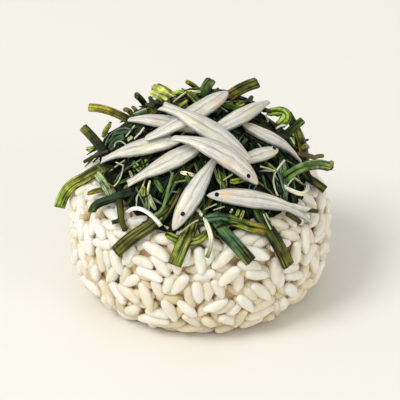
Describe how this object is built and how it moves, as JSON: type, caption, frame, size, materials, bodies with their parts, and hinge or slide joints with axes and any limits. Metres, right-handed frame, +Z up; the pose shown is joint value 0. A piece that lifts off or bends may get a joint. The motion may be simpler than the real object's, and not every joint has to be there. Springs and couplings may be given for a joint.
{
  "type": "onigiri rice ball",
  "caption": "Drum-shaped rice ball with loose whole grains on its side, heaped with chopped leafy greens and small silver fish lying across each other.",
  "frame": {"origin": "middle of the flat foot that the rice ball rests on", "axes": "+Z up through the heap, -Y towards the viewer's side of the picture, +X to the viewer's right"},
  "size_m": [0.07, 0.0675, 0.0534],
  "materials": {
    "rice": "moist cooked rice, slightly glossy and translucent",
    "greens": "wilted chopped leaf and stalk, waxy",
    "fish": "small silver fish, pearly skin with grey streaks"
  },
  "bodies": {
    "root": {"rice": "rice", "greens": "greens", "fish_01": "fish", "fish_02": "fish", "fish_03": "fish", "fish_04": "fish", "fish_05": "fish", "fish_06": "fish", "fish_07": "fish", "fish_08": "fish", "fish_09": "fish", "fish_10": "fish", "fish_11": "fish"}
  },
  "joints": []
}
